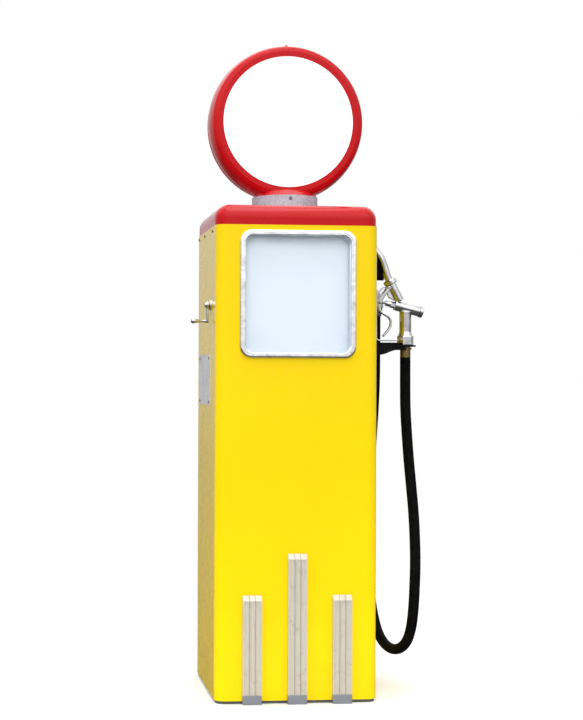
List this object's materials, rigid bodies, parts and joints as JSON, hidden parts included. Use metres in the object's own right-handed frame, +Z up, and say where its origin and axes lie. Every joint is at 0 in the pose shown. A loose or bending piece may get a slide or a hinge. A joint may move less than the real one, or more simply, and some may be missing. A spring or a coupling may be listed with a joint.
{
  "type": "vintage gas pump",
  "caption": "Square-cabinet vintage gas pump with a ring globe, dial windows, fluted trims, a reset crank, a lever nozzle on a side shelf and a looped hose.",
  "frame": {"origin": "centre of the anchor bolt pattern, on the ground in the middle of the cabinet's footprint", "axes": "+Z up through the globe, -Y out of the front dial face, +X towards the nozzle"},
  "size_m": [0.6842, 0.448, 1.841],
  "materials": {
    "frame_steel": "satin",
    "cabinet_paint": "gloss enamel",
    "trim_paint": "gloss enamel",
    "galvanised": "spangled, dull",
    "screw_steel": "dull",
    "brass_screw": "tarnished",
    "milk_glass": "opal gloss",
    "socket_black": "matte",
    "lamp_glass": "frosted",
    "bezel_chrome": "polished",
    "window_glass": "clear",
    "dial_white": "satin white",
    "plate_aluminium": "satin",
    "crank_chrome": "worn polish",
    "machine_steel": "machined",
    "wheel_black": "matte",
    "bracket_black": "semi-gloss black",
    "coupling_steel": "dark",
    "hose_rubber": "ribbed satin",
    "nozzle_chrome": "polished casting",
    "swivel_brass": "tarnished",
    "motor_grey": "hammered",
    "machine_iron": "painted casting",
    "belt_rubber": "matte",
    "meter_brass": "cast",
    "trim_aluminium": "brushed"
  },
  "bodies": {
    "cabinet": {"base_frame": "frame_steel", "cabinet_frame": "frame_steel", "register_deck": "frame_steel", "front_shell": "cabinet_paint", "back_shell": "cabinet_paint", "top_cap": "trim_paint", "globe_collar": "galvanised", "globe_half_left": "trim_paint", "globe_half_right": "trim_paint", "globe_screws": "screw_steel", "lens_front": "milk_glass", "lens_rear": "milk_glass", "lamp_socket": "socket_black", "globe_lamp": "lamp_glass", "bezel_front": "bezel_chrome", "bezel_rear": "bezel_chrome", "window_glass_front": "window_glass", "window_glass_rear": "window_glass", "dial_panel_front": "dial_white", "dial_panel_rear": "dial_white", "shell_screws": "brass_screw", "nameplate": "plate_aluminium", "nameplate_screws": "screw_steel", "crank_escutcheon": "crank_chrome", "register_housing": "machine_steel", "nozzle_boot": "bracket_black", "nozzle_shelf": "bracket_black", "bracket_bolts": "screw_steel", "outlet_elbow": "galvanised", "outlet_coupling": "coupling_steel", "hose": "hose_rubber", "motor": "motor_grey", "pump_unit": "machine_iron", "drive_belt": "belt_rubber", "suction_pipe": "galvanised", "air_separator": "machine_iron", "meter": "meter_brass", "discharge_pipe": "galvanised", "trim_front_left": "trim_aluminium", "trim_front_centre": "trim_aluminium", "trim_front_right": "trim_aluminium", "trim_rear_left": "trim_aluminium", "trim_rear_centre": "trim_aluminium", "trim_rear_right": "trim_aluminium"},
    "crank": {"reset_crank": "crank_chrome", "crank_screw": "crank_chrome", "reset_shaft": "machine_steel"},
    "register_wheels": {"number_wheels": "wheel_black"},
    "nozzle": {"nozzle_body": "nozzle_chrome", "spout_nut": "nozzle_chrome", "nozzle_spout": "nozzle_chrome", "valve_cap": "nozzle_chrome", "packing_nut": "nozzle_chrome", "lever_pin": "machine_steel", "lever_guard": "nozzle_chrome", "hose_swivel": "swivel_brass"},
    "lever": {"trigger_lever": "nozzle_chrome"},
    "valve": {"valve_stem": "machine_steel"},
    "motor_shaft": {"motor_pulley": "machine_iron"},
    "pump_shaft": {"pump_pulley": "machine_iron"}
  },
  "joints": [
    {"name": "crank_turn", "type": "hinge", "parent": "cabinet", "child": "crank", "pos_m": [-0.231, -0.09, 1.091], "axis": [1, 0, 0], "continuous": true},
    {"name": "wheels_turn", "type": "hinge", "parent": "cabinet", "child": "register_wheels", "pos_m": [0, -0.09, 1.091], "axis": [1, 0, 0], "continuous": true},
    {"name": "nozzle_lift", "type": "slide", "parent": "cabinet", "child": "nozzle", "axis": [0.6, 0, 0.8], "range_m": [0, 0.12]},
    {"name": "lever_squeeze", "type": "hinge", "parent": "nozzle", "child": "lever", "pos_m": [0.2995, -0.02, 1.1465], "axis": [0, -1, 0], "range_deg": [0, 10.5], "stiffness_Nm_per_rad": 1.5, "springref_deg": -28.65},
    {"name": "valve_open", "type": "slide", "parent": "nozzle", "child": "valve", "axis": [0.9709, 0, -0.2394], "range_m": [0, 0.0105]},
    {"name": "motor_spin", "type": "hinge", "parent": "cabinet", "child": "motor_shaft", "pos_m": [-0.1, -0.09, 0.16], "axis": [0, 1, 0], "continuous": true},
    {"name": "pump_spin", "type": "hinge", "parent": "cabinet", "child": "pump_shaft", "pos_m": [0.1, -0.09, 0.19], "axis": [0, 1, 0], "continuous": true}
  ],
  "couplings": [
    {"joint": "wheels_turn", "follows": "crank_turn", "ratio": 1},
    {"joint": "valve_open", "follows": "lever_squeeze", "m_per_rad": 0.054},
    {"joint": "motor_spin", "follows": "pump_spin", "ratio": 2.7241}
  ]
}
